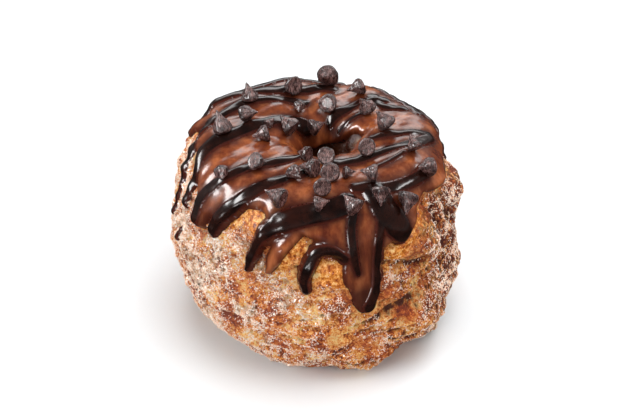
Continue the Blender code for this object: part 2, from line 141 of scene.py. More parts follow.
# Drips: half width in mm at the tip and higher up, then the places from the tip up
MILK_DRIPS = (
    (2.6, 3.4, ((217.5, 22), (218, 28), (220, 33))),
    (1.8, 2.6, ((226, 22.5), (229, 27), (234, 33))),
    (1.1, 1.9, ((244, 15), (245.3, 18.6), (248, 23), (252.5, 27.5))),
    (2.0, 3.2, ((249.5, 25), (254, 28.5), (260, 31))),
    (1.1, 2.2, ((252.2, 15.3), (254.4, 19.2), (257.3, 22.7), (262, 26.5))),
    (1.6, 2.3, ((266.4, 11.3), (266.4, 15), (269, 19.6), (273, 23), (280, 24))),
    (2.6, 4.1, ((289, 3.9), (289.2, 7), (289.5, 10.5), (290, 15))),
    (4.3, 6.2, ((289.5, 11), (289.7, 14.5), (290, 18), (291, 24))),
    (3.8, 5.0, ((308, 24), (308, 30))),
    (2.2, 3.4, ((22, 14), (24, 22), (27, 29))),
    (1.8, 3.0, ((68, 19), (67, 26), (66, 31))),
    (2.4, 3.6, ((103, 13), (104, 22), (104, 30))),
    (1.8, 3.2, ((136, 21), (137, 28), (140, 34))),
    (1.6, 2.8, ((160, 27), (161, 31), (164, 36))),
)


def squared(value, squareness):
    """A sine or cosine that bulges towards the corners of a square."""
    return np.sign(value) * np.abs(value) ** (2 / squareness)


def section_table(fine=16000, rows=720):
    """Distances along the section from the waist, their radius and height, and its length."""
    angle = np.linspace(0, CIRCLE, fine + 1)
    quarter = np.minimum((angle / (math.pi / 2)).astype(int), 3)
    half_width = np.array([q[0] for q in QUARTERS])[quarter]
    half_height = np.array([q[1] for q in QUARTERS])[quarter]
    squareness = np.array([q[2] for q in QUARTERS])[quarter]
    radius = RING_RADIUS + half_width * squared(np.cos(angle), squareness)
    height = half_height * squared(np.sin(angle), squareness)
    run = np.concatenate([[0], np.cumsum(np.hypot(np.diff(radius), np.diff(height)))])
    along = np.linspace(0, run[-1], rows + 1)
    return along, np.interp(along, run, radius), np.interp(along, run, height), run[-1]


STEPS, RADII, HEIGHTS, ROUND = section_table()
SLOPE_R = np.gradient(RADII, STEPS)
SLOPE_Z = np.gradient(HEIGHTS, STEPS)


def ring_point(azimuth, along, lift):
    """The point at a place on the ring, in mm, lifted off the section."""
    turn = np.radians(azimuth)
    along = np.mod(along, ROUND)
    radius = np.interp(along, STEPS, RADII)
    height = np.interp(along, STEPS, HEIGHTS)
    inward = np.clip((RING_RADIUS + OUTER_HALF - radius) / (OUTER_HALF + INNER_HALF), 0, 1)
    inward = inward * inward * (3 - 2 * inward)
    radius = radius + lift * np.interp(along, STEPS, SLOPE_Z)
    height = height - lift * np.interp(along, STEPS, SLOPE_R)
    x = radius * np.cos(turn) + HOLE_SHIFT * inward + LEAN * height - CENTRE_X
    y = radius * np.sin(turn) - CENTRE_Y
    return np.stack([x, y, np.maximum(height + WAIST_HEIGHT, 0)], axis=-1)


def waves(azimuth, along, seed, turns, laps, count):
    """A sum of waves that close round the ring and round its section, drawn from a seed."""
    draw = random.Random(seed)
    total = 0
    for _ in range(count):
        turn = draw.randint(*turns)
        lap = draw.randint(*laps) * draw.choice((-1, 1))
        phase = draw.uniform(0, CIRCLE)
        total = total + np.cos(turn * np.radians(azimuth) + lap * CIRCLE * along / ROUND + phase)
    return total / math.sqrt(count)


def turn_between(azimuth, centre):
    """Degrees from a centre to an azimuth, the shorter way round."""
    return np.mod(azimuth - centre + 180, 360) - 180


def facing(azimuth, centre, spread):
    """1 on the side that faces an azimuth, which fades over a spread in degrees."""
    return np.exp(-(turn_between(azimuth, centre) / spread) ** 2)


def swell(azimuth, along, centre, height_at, half_width, half_length, height):
    """A rounded rise of some height at one place."""
    across = turn_between(azimuth, centre) / half_width
    up = (np.mod(along - height_at + ROUND / 2, ROUND) - ROUND / 2) / half_length
    return height * np.exp(-(across ** 2 + up ** 2))


def trail(places, step=0.7):
    """Points along a smooth line through some places, with each one's share of the way."""
    places = np.array(places, dtype=float)
    count = int(np.abs(np.diff(places, axis=0)).sum() / step) + 8
    share = np.linspace(0, len(places) - 1, count)
    places[:, 0] = np.degrees(np.unwrap(np.radians(places[:, 0])))
    slopes = np.gradient(places, axis=0)
    left = np.minimum(share.astype(int), len(places) - 2)
    way = (share - left)[:, None]
    start, end = places[left], places[left + 1]
    leaving, arriving = slopes[left], slopes[left + 1]
    line = ((2 * way ** 3 - 3 * way ** 2 + 1) * start + (way ** 3 - 2 * way ** 2 + way) * leaving
            + (3 * way ** 2 - 2 * way ** 3) * end + (way ** 3 - way ** 2) * arriving)
    return ring_point(line[:, 0], line[:, 1], 0.0), share / (len(places) - 1)


def inside_trail(points, places, tip, root):
    """How far points lie inside a trail's edge in mm, negative outside it, and its half width."""
    line, share = trail(places)
    half = tip + (root - tip) * np.clip(share * TRAIL_FLARE, 0, 1)
    inside = np.full(len(points), -FAR)
    low = line.min(axis=0) - TRAIL_BOX
    high = line.max(axis=0) + TRAIL_BOX
    close = np.nonzero(np.all((points > low) & (points < high), axis=1))[0]
    spots = points[close]
    near = inside[close]
    for spot, width in zip(line, half):
        np.maximum(near, width - np.sqrt(((spots - spot) ** 2).sum(axis=1)), out=near)
    inside[close] = near
    return inside, half.mean()


def edge_at(azimuth, edge):
    """How far along the icing's edge lies at an azimuth, smoothed between its places."""
    centres, values = np.array(edge, dtype=float).T
    centres = np.concatenate([centres[-3:] - 360, centres, centres[:3] + 360])
    values = np.concatenate([values[-3:], values, values[:3]])
    fine = np.arange(0, 360, EDGE_STEP)
    rough = np.interp(fine, centres, values)
    spread = np.exp(-(np.arange(-EDGE_WINDOW, EDGE_WINDOW + 1) / EDGE_SPREAD) ** 2)
    padded = np.concatenate([rough[-EDGE_WINDOW:], rough, rough[:EDGE_WINDOW]])
    smooth = np.convolve(padded, spread / spread.sum(), mode="valid")
    return np.interp(np.mod(azimuth, 360), np.append(fine, 360.0), np.append(smooth, smooth[0]))


def smooth_larger(a, b, blend):
    """The larger of two values, with a rounded change from one to the other."""
    mix = np.clip(0.5 + 0.5 * (a - b) / blend, 0, 1)
    return b + (a - b) * mix + blend * mix * (1 - mix)


def milk_inside(azimuth, along, points):
    """How far a place lies inside the edge of the milk icing, in mm."""
    from_below = along - edge_at(azimuth, LOWER_EDGE)
    from_hole = edge_at(azimuth, HOLE_EDGE) - along
    inside = np.clip(np.minimum(from_below, from_hole), -FAR, FAR)
    for tip, root, places in MILK_DRIPS:
        drip, _ = inside_trail(points, places, tip, root)
        inside = smooth_larger(inside, drip, DRIP_BLEND)
    return inside


def crust_relief(azimuth, along, covered):
    """Lumps, crumbs, layer edges and splits of the crust in mm, smooth under the icing."""
    points = ring_point(azimuth, along, 0.0)
    lumps = LUMP_HEIGHT * waves(azimuth, along, 3, (2, 9), (1, 6), 16)
    crumbs = CRUMB_HEIGHT * waves(azimuth, along, 5, (12, 34), (7, 20), 26)
    wander = LAYER_WANDER * waves(azimuth, along, 7, (1, 6), (1, 4), 8)
    layers = LAYER_HEIGHT * np.sin(CIRCLE * (along + wander) / LAYER_PITCH)
    rough_side = 0.35 + 0.65 * facing(azimuth, *ROUGH_SIDE)
    bare = 1 - covered
    wall = np.clip(np.hypot(points[:, 0], points[:, 1]) / RING_RADIUS - 0.2, 0.15, 1)
    foot = 1 - 0.8 * np.exp(-((along - FOOT_ALONG) / FOOT_HALF) ** 4)
    relief = lumps * (0.45 + 0.55 * bare) + (crumbs + layers * rough_side) * bare * wall
    for place in SWELLS:
        relief = relief + swell(azimuth, along, *place)
    relief = relief * foot
    for half, depth, places in SPLITS:
        inside, _ = inside_trail(points, places, half, half)
        relief = relief - depth * np.clip(1 + inside / half / 2, 0, 1) ** 2 * bare
    return relief


def ring_grid(columns, rows_along):
    """Azimuth and distance along of the corners of a grid round the ring, column by column."""
    azimuth = np.arange(columns) * 360 / columns
    turned, along = np.meshgrid(azimuth, rows_along, indexing="ij")
    return turned.ravel(), along.ravel()


def grid_quads(columns, rows, closed):
    """Corner numbers of the quads of a grid round the ring."""
    column = np.arange(columns)[:, None]
    row = np.arange(rows if closed else rows - 1)[None, :]
    right = (column + 1) % columns
    up = (row + 1) % rows
    return np.stack([
        column * rows + row, right * rows + row, right * rows + up, column * rows + up,
    ], axis=-1).reshape(-1, 4)


def mesh_piece(name, points, faces, material):
    """An object of points in mm and of faces, with the corners that no face uses left out."""
    used, numbers = np.unique(faces, return_inverse=True)
    numbers = numbers.reshape(faces.shape).astype(np.int32)
    mesh = bpy.data.meshes.new(name)
    mesh.vertices.add(len(used))
    mesh.vertices.foreach_set("co", (points[used] * MM).ravel())
    mesh.loops.add(numbers.size)
    mesh.loops.foreach_set("vertex_index", numbers.ravel())
    mesh.polygons.add(len(numbers))
    starts = np.arange(0, numbers.size, numbers.shape[1], dtype=np.int32)
    mesh.polygons.foreach_set("loop_start", starts)
    mesh.update(calc_edges=True)
    mesh.shade_smooth()
    mesh.materials.append(material)
    piece = bpy.data.objects.new(name, mesh)
    bpy.context.scene.collection.objects.link(piece)
    return piece, used


def paint(piece, name, values):
    """Writes one number for each corner, which the material reads by name."""
    piece.data.attributes.new(name, "FLOAT", "POINT")
    piece.data.attributes[name].data.foreach_set("value", np.asarray(values, dtype=np.float32))


def finish_for(name):
    """A new material with its shader, and short ways to add and join its nodes."""
    material = bpy.data.materials.new(name)
    material.use_nodes = True
    tree = material.node_tree
    shader = tree.nodes["Principled BSDF"]

    def add(kind, inputs=None, **settings):
        node = tree.nodes.new(kind)
        for key, value in settings.items():
            setattr(node, key, value)
        for key, value in (inputs or {}).items():
            if isinstance(value, bpy.types.NodeSocket):
                tree.links.new(value, node.inputs[key])
            else:
                node.inputs[key].default_value = value
        return node

    def join(source, socket):
        tree.links.new(source, shader.inputs[socket])

    return material, shader, add, join


def stretched(add, place, by):
    """A place with each of its coordinates multiplied, so that a pattern runs longer one way."""
    return add("ShaderNodeVectorMath", {0: place, 1: by}, operation="MULTIPLY").outputs[0]


def in_mm(add):
    """The place on the piece in millimetres."""
    return stretched(add, add("ShaderNodeTexCoord").outputs["Object"], (1000, 1000, 1000))


def painted(add, name):
    """The numbers that paint wrote under a name."""
    return add("ShaderNodeAttribute", attribute_name=name).outputs["Fac"]


def grain(add, place, scale, detail=3.0, roughness=0.55):
    """An uneven pattern of values from 0 to 1, mostly near the middle."""
    node = add("ShaderNodeTexNoise", {"Vector": place, "Scale": scale, "Detail": detail,
                                      "Roughness": roughness})
    return node.outputs["Fac"]


def between(add, value, low, high, to_low=0.0, to_high=1.0):
    """A value carried smoothly from one range to another."""
    node = add("ShaderNodeMapRange", {"Value": value, "From Min": low, "From Max": high,
                                      "To Min": to_low, "To Max": to_high},
               interpolation_type="SMOOTHSTEP")
    return node.outputs["Result"]


def sum_of(add, a, b):
    return add("ShaderNodeMath", {0: a, 1: b}, operation="ADD").outputs[0]


def times(add, a, b):
    return add("ShaderNodeMath", {0: a, 1: b}, operation="MULTIPLY").outputs[0]


def blend_colours(add, share, first, second):
    """From one colour to another. A colour that is fixed is (red, green, blue, 1)."""
    node = add("ShaderNodeMix", {0: share, 6: first, 7: second}, data_type="RGBA")
    return node.outputs[2]


def set_ramp(ramp, stops):
    """Gives a colour ramp its stops, each a position and a (red, green, blue)."""
    while len(ramp.elements) < len(stops):
        ramp.elements.new(0.5)
    for element, (position, colour) in zip(ramp.elements, stops):
        element.position = position
        element.color = (*colour, 1.0)


def shades(add, value, stops):
    """Colours along a value, from stops."""
    node = add("ShaderNodeValToRGB", {"Fac": value})
    set_ramp(node.color_ramp, stops)
    return node.outputs["Color"]


def stand_out(add, join, pattern, strength, metres):
    """Lets a pattern stand out of the surface in the light, by up to a height in metres."""
    bump = add("ShaderNodeBump", {"Strength": strength, "Distance": metres, "Height": pattern})
    join(bump.outputs["Normal"], "Normal")


def kept_inside(points, margin):
    """Points moved to stay a margin in mm inside the solid's own box, down to the floor."""
    low, high = np.array(cad_box) / MM
    return np.clip(points, low + (margin, margin, 0), high - margin)


def dough_rows():
    """Distances along of the ring's rows: close together where the crust shows."""
    bare = np.arange(-BARE_REACH, BARE_REACH, BARE_STEP)
    under_icing = np.arange(BARE_REACH, HOLE_FROM, ICED_STEP)
    in_hole = np.linspace(HOLE_FROM, ROUND - (BARE_REACH + BARE_STEP), HOLE_ROWS)
    return np.concatenate([bare, under_icing, in_hole])


def crust_detail(points, azimuth, along, bare, smooth_patch):
    """Flakes, cracks and crumbs finer than the solid's in mm, and how crumbly each place is."""
    flaky = facing(azimuth, *FLAKY_SIDE) * np.clip((along + 14) / 12, 0, 1)
    layered = 0.40 + 0.35 * facing(azimuth, *LAYERED_SIDE) * (along < 4)
    out = np.zeros(len(points))
    crumb = np.zeros(len(points))
    arc = np.radians(azimuth) * FLANK_RADIUS
    for i in np.nonzero(bare > 0.02)[0]:
        spot = Vector(points[i])
        rough = noise.fractal(spot * 0.55, 0.8, 2.1, 5)
        pebble = noise.voronoi(spot * 0.42)[0]
        sheet = spot + Vector((0.0, 0.0, 2.4 * noise.noise(spot * 0.07)))
        layer = noise.fractal(Vector((sheet.x * 0.10, sheet.y * 0.10, sheet.z * 0.62)), 0.7, 2.0, 4)
        ridge = arc[i] / FIBRE_PITCH + 1.5 * noise.noise(spot * 0.15) + 0.35 * rough
        ridge = abs(math.sin(math.pi * ridge)) ** 0.6 - 0.62
        broken = 0.7 + 1.1 * noise.noise(spot * 0.35)
        crumb[i] = rough
        out[i] = (ROUGH_HEIGHT * rough + PEBBLE_HEIGHT * (0.42 - pebble[0]) + layered[i] * layer
                  + FIBRE_HEIGHT * flaky[i] * ridge * broken)
    folds = swell(azimuth, along, *FOLDS) * np.cos(CIRCLE * (arc + 0.1 * along) / FOLD_PITCH)
    return (out * (1 - 0.6 * smooth_patch) + folds) * bare, crumb


DOUGH_COLUMNS = 560
BARE_REACH = 34.0
BARE_STEP = 0.5
ICED_STEP = 3.0
HOLE_FROM = 55.0
HOLE_ROWS = 35
DOUGH_MARGIN = 0.15
FLANK_RADIUS = 40
ROUGH_HEIGHT = 0.36
PEBBLE_HEIGHT = 0.45
FIBRE_HEIGHT = 1.15
FIBRE_PITCH = 1.7
FOLDS = (305, 8.5, 7, 5, 0.45)
FOLD_PITCH = 2.7
NEAR_ICING = 1.8
# Amber blisters: azimuth, along, half width in degrees, half length in mm
BLISTERS = (
    (244, 28.5, 6, 3.5), (250, 26, 3, 3), (258, 20.5, 3, 4.5), (264, 23, 3, 3), (272, 16.5, 5, 3.5),
    (279, 15, 3.5, 4), (305, 17.5, 6, 2.5), (313, 21, 4, 3), (320, 25, 3, 3.5), (202, 29, 8, 2.5),
    (233, 27, 4, 3), (70, 20, 6, 4), (140, 24, 7, 3.5), (20, 22, 6, 3),
)
# A scorched patch, a heap of sugar and a glazed spot in the hole, given in the same way
SCORCH = (235, -8, 6, 4)
SUGAR_HEAP = (252, 15, 10, 6)
HOLE_GLAZE = (8, 58.5, 7, 1.7)
BROWNING = (
    (0.05, (0.075, 0.010, 0.003)), (0.25, (0.34, 0.052, 0.010)), (0.48, (0.74, 0.175, 0.026)),
    (0.72, (0.92, 0.38, 0.070)), (0.95, (0.98, 0.68, 0.28)),
)
AMBER = (
    (0.38, (0.13, 0.018, 0.004)), (0.46, (0.50, 0.115, 0.014)), (0.54, (0.80, 0.32, 0.050)),
    (0.62, (0.96, 0.68, 0.28)),
)
FRIED_BROWN = (0.48, 0.075, 0.020, 1)
# Painted shade for the cracks between fibres on the right flank
CRACK_SHADE_BROWN = (0.110, 0.014, 0.006, 1)
SUGAR_DUST = (0.98, 0.71, 0.49, 1)
# Painted shade for the crust's hollows and splits, also the colour of the scorched patch
SHADE_AND_SCORCH_BROWN = (0.060, 0.009, 0.003, 1)
# Painted shade for inside the hole
HOLE_SHADE_BROWN = (0.065, 0.014, 0.004, 1)

azimuth, along = ring_grid(DOUGH_COLUMNS, dough_rows())
bare_ring = ring_point(azimuth, along, 0.0)
milk_edge = milk_inside(azimuth, along, bare_ring)
covered = np.clip(milk_edge / SMOOTHED_UNDER, 0, 1)
bare = np.clip(1 - milk_edge / 1.5, 0, 1) * (np.abs(turn_between(along / ROUND * 360, 0)) < 100)
blister = sum(swell(azimuth, along, *place, 1.0) for place in BLISTERS)
blister = np.clip(blister * 1.2, 0, 1)
detail, crumb = crust_detail(bare_ring, azimuth, along, bare, blister)
foot_fade = 1 - np.exp(-((np.mod(along, ROUND) - FOOT_ALONG) / FOOT_HALF) ** 4)
relief = crust_relief(azimuth, along, covered) + detail * foot_fade - DOUGH_MARGIN
dough_points = kept_inside(ring_point(azimuth, along, relief), DOUGH_MARGIN)

crust, shader, add, join = finish_for("sugared_crust")
place = in_mm(add)
sugar_here = painted(add, "sugar")
shade_and_scorch = painted(add, "shade_and_scorch")
glazed = painted(add, "glaze")
hole_shade = painted(add, "hole_shade")
crack_shade = painted(add, "crack_shade")
patches = times(add, grain(add, place, 0.16, 5, 0.6), 0.45)
mottled = times(add, grain(add, place, 1.1, 4, 0.85), 0.55)
mottled = between(add, sum_of(add, patches, mottled), 0.38, 0.62)
fried = between(add, grain(add, place, 0.11, 3, 0.5), 0.40, 0.60)
browning = blend_colours(add, times(add, fried, 0.35), shades(add, mottled, BROWNING), FRIED_BROWN)
# Painted shade in the cracks between upright fibres on the right flank, where there is also less
# sugar
pulled = stretched(add, place, (1.0, 1.0, 0.2))
crack_lines = times(add, between(add, grain(add, pulled, 1.2, 4, 0.7), 0.46, 0.57, 1.0, 0.0), crack_shade)
browning = blend_colours(add, times(add, crack_lines, 0.95), browning, CRACK_SHADE_BROWN)
speck = grain(add, place, 1.9, 5, 0.8)
wide = between(add, grain(add, place, 0.30, 5, 0.65), 0.35, 0.65, -0.22, 0.22)
level = between(add, sum_of(add, sugar_here, wide), 0.0, 1.0, 0.76, 0.42)
over = add("ShaderNodeMath", {0: speck, 1: level}, operation="SUBTRACT").outputs[0]
dusted = between(add, over, -0.02, 0.09, 0.0, 0.9)
dusted = times(add, dusted, between(add, glazed, 0.2, 0.7, 1.0, 0.2))
dusted = times(add, dusted, between(add, crack_lines, 0.0, 1.0, 1.0, 0.1))
dusted = times(add, dusted, between(add, shade_and_scorch, 0.0, 0.7, 1.0, 0.2))
amber = shades(add, grain(add, place, 0.55, 6, 0.75), AMBER)
colour = blend_colours(add, times(add, glazed, 0.85), browning, amber)
colour = blend_colours(add, dusted, colour, SUGAR_DUST)
# Painted shade: the crust darkens in its hollows and splits, and at the scorched patch
colour = blend_colours(add, between(add, shade_and_scorch, 0.0, 0.8, 0.0, 0.95), colour, SHADE_AND_SCORCH_BROWN)
# Painted shade inside the hole
colour = blend_colours(add, hole_shade, colour, HOLE_SHADE_BROWN)
join(colour, "Base Color")
join(between(add, glazed, 0.15, 0.8, 0.70, 0.20), "Roughness")
shader.inputs["Specular IOR Level"].default_value = 0.32
shader.inputs["Subsurface Weight"].default_value = 0.10
shader.inputs["Subsurface Radius"].default_value = (1.0, 0.45, 0.2)
shader.inputs["Subsurface Scale"].default_value = 0.0012
rough = sum_of(add, grain(add, place, 1.2, 7, 0.75), dusted)
rough = times(add, rough, between(add, glazed, 0.3, 0.9, 1.0, 0.35))
stand_out(add, join, rough, 1.0, 0.0010)

dough_faces = grid_quads(DOUGH_COLUMNS, len(dough_rows()), True)
dough, used = mesh_piece("dough_ring", dough_points, dough_faces, crust)
near_icing = np.exp(-(np.clip(-milk_edge, 0, FAR) / NEAR_ICING) ** 2)
left_flank = facing(azimuth, *LEFT_FLANK)
right_flank = facing(azimuth, *RIGHT_FLANK)
low_front = facing(azimuth, *FRONT) * np.exp(-((along + 22) / 9) ** 2)
sugar_amount = 0.17 + 0.50 * left_flank + 0.25 * right_flank + 0.10 * low_front
sugar_amount = sugar_amount + 0.17 * waves(azimuth, along, 31, (2, 16), (2, 10), 16)
sugar_amount = sugar_amount + swell(azimuth, along, *SUGAR_HEAP, 0.4)
sugar_amount = sugar_amount - swell(azimuth, along, *SCORCH, 0.6)
sugar_amount = sugar_amount * (1 - (0.7 - 0.6 * left_flank) * near_icing)
glaze_amount = np.clip(1.2 * blister + 0.25 * near_icing, 0, 1)
# Painted shade in the crust's hollows and splits, deeper on the right flank and lighter on the left,
# plus the real darkening of the scorched patch
shade_strength = 1.3 + 0.7 * right_flank - 0.7 * left_flank
shade_and_scorch_amount = -detail * shade_strength - 0.15 + swell(azimuth, along, *SCORCH, 0.45)
for half, _, places in SPLITS:
    inside, _ = inside_trail(bare_ring, places, half, half)
    shade_and_scorch_amount = np.maximum(shade_and_scorch_amount, np.clip(0.2 + 0.9 * inside / half + 1.1 * crumb, 0, 1))
shade_and_scorch_amount = np.clip(shade_and_scorch_amount, 0, 1)
# Painted shade deep in the hole, left off at the glazed spot so that its amber shows
in_hole = np.clip((along - 46) / 8, 0, 1) * (along < ROUND / 2)
glint = swell(azimuth, along, *HOLE_GLAZE, 0.8)
paint(dough, "sugar", np.clip(sugar_amount, 0, 1)[used])
paint(dough, "glaze", np.maximum(glaze_amount, in_hole)[used])
paint(dough, "shade_and_scorch", (shade_and_scorch_amount * (1 - in_hole))[used])
paint(dough, "hole_shade", (in_hole * (1 - glint))[used])
# How much painted crack shade each place on the right flank gets
paint(dough, "crack_shade", (np.clip(1.3 * right_flank, 0, 1) * (1 - in_hole))[used])
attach(dough, "root")
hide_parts("pastry")

# The sugar: fine grains stuck all over the bare crust, thickest on the left flank. They are
# sharp splinters of clear white sugar, each half sunk in the crust.
GRAIN_COUNT = 46000
GRAIN_SIZES = (0.08, 0.20)
GRAIN_STRETCH = (0.7, 1.3)
GRAIN_MARGIN = 0.01
GRAIN_TINTS = ((0.38, (0.94, 0.60, 0.40)), (0.6, (0.98, 0.88, 0.78)))
SPLINTER = np.array([(1, 1, 1), (1, -1, -1), (-1, 1, -1), (-1, -1, 1)], dtype=float)
SPLINTER_FACES = np.array([(0, 1, 2), (0, 3, 1), (0, 2, 3), (1, 3, 2)])
sugar_white, shader, add, join = finish_for("sugar_grains")
join(shades(add, grain(add, in_mm(add), 1.2, 2), GRAIN_TINTS), "Base Color")
shader.inputs["Roughness"].default_value = 0.16
shader.inputs["Specular IOR Level"].default_value = 0.5
chance = np.random.default_rng(12)
corners = dough_points[dough_faces]
middle = corners.mean(axis=1)
area = np.linalg.norm(np.cross(corners[:, 2] - corners[:, 0], corners[:, 3] - corners[:, 1]), axis=1)
clumps = np.clip(0.55 + 1.5 * crumb + 1.5 * right_flank * detail, 0.02, 1.6)
sticky = sugar_amount * clumps * (milk_edge < -0.4) * (1 - 0.85 * glaze_amount) * (bare > 0)
face_sugar = sticky[dough_faces].mean(axis=1)
weight = area * np.clip(face_sugar, 0, 1.5) ** 1.6 * (middle[:, 2] > 0.4)
chosen = chance.choice(len(dough_faces), GRAIN_COUNT, p=weight / weight.sum())
across = chance.random((2, GRAIN_COUNT, 1))
spot = corners[chosen]
spot = ((spot[:, 0] * (1 - across[0]) + spot[:, 1] * across[0]) * (1 - across[1])
        + (spot[:, 3] * (1 - across[0]) + spot[:, 2] * across[0]) * across[1])
spin, _ = np.linalg.qr(chance.normal(size=(GRAIN_COUNT, 3, 3)))
size = chance.uniform(*GRAIN_SIZES, (GRAIN_COUNT, 1, 1))
size = size * chance.uniform(*GRAIN_STRETCH, (GRAIN_COUNT, 1, 3))
grains = np.einsum("nij,nkj->nki", spin, SPLINTER[None] * size) + spot[:, None]
faces = SPLINTER_FACES[None] + 4 * np.arange(GRAIN_COUNT)[:, None, None]
flipped = np.linalg.det(spin) < 0
faces[flipped] = faces[flipped][:, :, ::-1]
grains = kept_inside(grains.reshape(-1, 3), GRAIN_MARGIN)
sugar, _ = mesh_piece("sugar_coat", grains, faces.reshape(-1, 3), sugar_white)
sugar.data.shade_flat()
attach(sugar, "root")

# The milk icing: melted milk chocolate poured over the top, which ran down in drips and into
# the hole before it set. It is a skin about 2 mm thick with a rounded edge.
ICING = 1.8
ICING_ROUND = 2.4
ICING_COLUMNS = 560
ICING_STEP = 0.45
ICING_SNAP = 0.34
ICING_SKIRT = 0.75
ICING_TUCK = -1.0
ICING_MARGIN = 0.05
SKIN_FROM = 0.5
SKIN_TO = 68.0
CHIP_FILLET = 0.55
CHIP_REACH = 3.4
POUR_ANGLE = math.radians(42)
RIDGE_HEIGHT = 0.09
RIDGE_PITCH = 4.6
RIPPLE_PITCH = 2.6
MILK_BROWNS = (
    (0.34, (0.085, 0.015, 0.006)), (0.50, (0.195, 0.045, 0.014)), (0.66, (0.360, 0.105, 0.034)),
)
# Beside the dark ribbons: dark chocolate blended into the milk, with painted shade next to the
# raised ribbons
MIXED_AND_SHADE_BROWN = (0.030, 0.006, 0.004, 1)
MIXED_AND_SHADE_REACH = 2.6
# Painted shade along the icing's rounded edge
EDGE_SHADE_BROWN = (0.060, 0.010, 0.005, 1)
EDGE_SHADE_REACH = 0.9
# The bulb of the long front drip, where dark chocolate is mixed in
DARK_BULB = (289, 6.5, 9, 5.5)
# Chips: azimuth, along, lean off upright and heading of the lean in degrees, and size
CHIPS = (
    (141, 41.5, 12, 200, 1.05),
    (109, 43.2, 112, 180, 1.1),
    (83.5, 41.2, 76, 20, 1.3),
    (60, 43.5, 100, 41, 1.0),
    (80, 52.0, 125, 190, 1.1),
    (36, 49.8, 22, 30, 1.05),
    (4, 48.0, 32, 20, 1.1),
    (166, 46.0, 62, 10, 1.0),
    (194, 49.2, 104, 175, 1.0),
    (183, 40.2, 18, 240, 1.15),
    (165, 54.5, 95, 200, 1.1),
    (105, 57.3, 95, 260, 1.0),
    (321, 49.5, 118, 40, 1.0),
    (341, 38.2, 60, 40, 0.85),
    (331, 33.3, 100, 300, 1.1),
    (229.5, 42.3, 132, 10, 1.0),
    (222, 34.9, 85, 120, 0.85),
    (277, 51.4, 120, 10, 1.0),
    (251, 51.5, 100, 280, 0.85),
    (264, 44.8, 104, 285, 1.05),
    (257, 41.4, 105, 119, 0.85),
    (279, 43.5, 122, 0, 1.1),
    (292, 42.6, 104, 90, 0.65),
    (274, 38.6, 118, 350, 1.0),
    (302, 39.0, 95, 304, 1.05),
    (301, 33.2, 100, 200, 1.0),
    (312, 29.7, 98, 222, 1.15),
    (287, 33.2, 100, 330, 1.1),
    (274, 34.0, 80, 80, 0.85),
    (253, 34.8, 92, 280, 1.1),
    (120, 52.8, 90, 40, 0.7),
    (171, 51.3, 60, 300, 0.6),
)
DRIZZLE_RISE = 0.34
DRIZZLE_FULLNESS = 0.75
# Ribbons: half width in mm at the first place and further on, then the places
DRIZZLE = (
    (2.0, 2.6, ((153, 31), (138, 36), (118, 41), (98, 43), (80, 42))),
    (1.0, 2.0, ((193, 14), (189, 23), (181, 31), (166, 37), (145, 41.5), (124, 46), (106, 49.5))),
    (1.5, 2.6, ((205, 22.5), (201, 30.5), (194, 36), (185, 42.5), (168, 49), (145, 54), (125, 57))),
    (1.5, 2.0, ((217, 22), (216, 28), (220, 35), (225, 41), (234, 48), (248, 53.5))),
    (1.7, 2.2, ((226, 21), (229, 26.5), (236, 33), (245, 39.5), (259, 45.5))),
    (0.8, 1.4, ((243.8, 14.4), (245.2, 18.4), (247.8, 22.9), (251.8, 26.8))),
    (1.6, 3.0, ((249.5, 25), (254, 28.3), (260, 30.4), (268, 32), (277, 33), (287, 34))),
    (1.3, 1.7, ((266.5, 10.8), (266.3, 14.6), (268.8, 19.5), (272, 22.3), (277, 22.5), (282, 20))),
    (1.2, 1.6, ((286.6, 15.5), (285.9, 20), (286.2, 27.3), (289.8, 34))),
    (2.2, 1.5, ((289.8, 4.6), (291.5, 7.5), (293.3, 11.5), (295, 18), (296.8, 23), (301, 30.5))),
    (3.1, 4.0, ((307, 23.2), (305.5, 26), (303, 30), (302, 34))),
    (0.8, 0.6, ((203, 9.8), (203.3, 12.6))),
    (2.0, 1.8, ((284, 49.5), (309, 48.5), (332, 45.5), (348, 39), (3, 33))),
    (0.9, 0.9, ((313, 42.5), (336, 39.5))),
    (1.8, 1.8, ((293, 38), (312, 34.5), (333, 32))),
    (1.7, 1.9, ((76, 56.5), (59, 51.5), (50, 45.5), (40, 40))),
    (1.1, 1.1, ((54, 58), (46, 55.5), (38, 51.5))),
    (1.5, 1.5, ((349, 51), (357, 43.5), (5, 33))),
    (1.9, 1.7, ((48, 41.5), (36, 43), (26, 38))),
    (1.5, 2.0, ((158, 24), (142, 30), (120, 35), (96, 35), (76, 33))),
    (1.4, 1.8, ((136, 18), (128, 25), (112, 30), (92, 30))),
    (1.4, 1.9, ((64, 15), (63, 24), (56, 32), (38, 34), (22, 34))),
    (1.3, 1.7, ((12, 22), (18, 28), (32, 31), (46, 28))),
)


def rounded_rise(inside, height, rounding, fullness=0.5, fall=1.5):
    """A skin that rises round-edged inside its edge and dives under the dough outside it."""
    grown = np.clip(inside / rounding, 0, 1)
    return np.where(inside >= 0, height * (1 - (1 - grown) ** 2) ** fullness, fall * inside)


